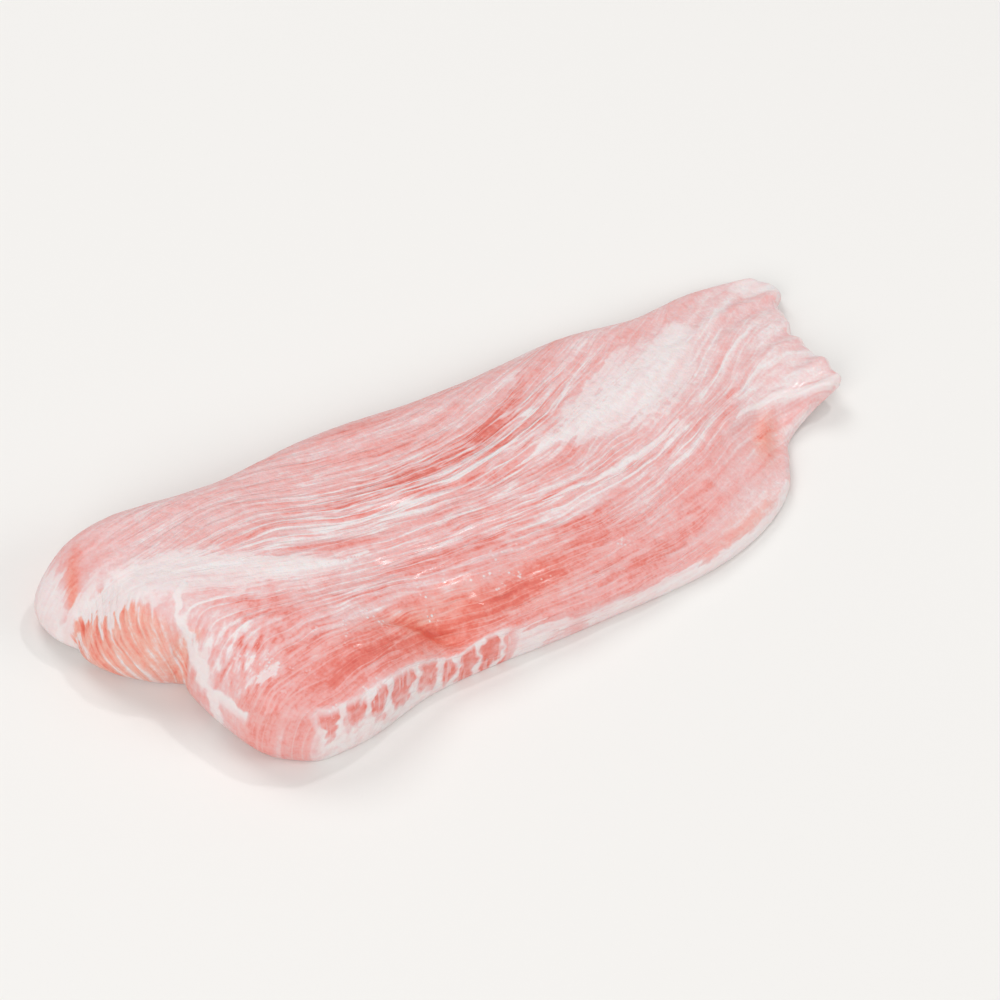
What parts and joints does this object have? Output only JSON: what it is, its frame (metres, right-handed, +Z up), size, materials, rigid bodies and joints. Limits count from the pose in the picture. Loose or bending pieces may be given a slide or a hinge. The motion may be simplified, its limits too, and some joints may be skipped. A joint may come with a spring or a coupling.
{
  "type": "pork jowl slab",
  "caption": "Raw pork jowl, a flat slab of marbled meat with a thick rolled end, a cut front side and a thin end that fans into pleats; it lies flat on a surface.",
  "frame": {"origin": "under the middle of the slab's box, on the plane that it lies on", "axes": "+X along the grain from the thick rolled end to the thin end, +Y from the cut front side to the back side, +Z up"},
  "size_m": [0.2154, 0.0768, 0.0211],
  "materials": {
    "raw_pork": "raw pork, pale pink lean with fine white marbling and white fat, moist"
  },
  "bodies": {
    "root": {"jowl_slab": "raw_pork"}
  },
  "joints": []
}
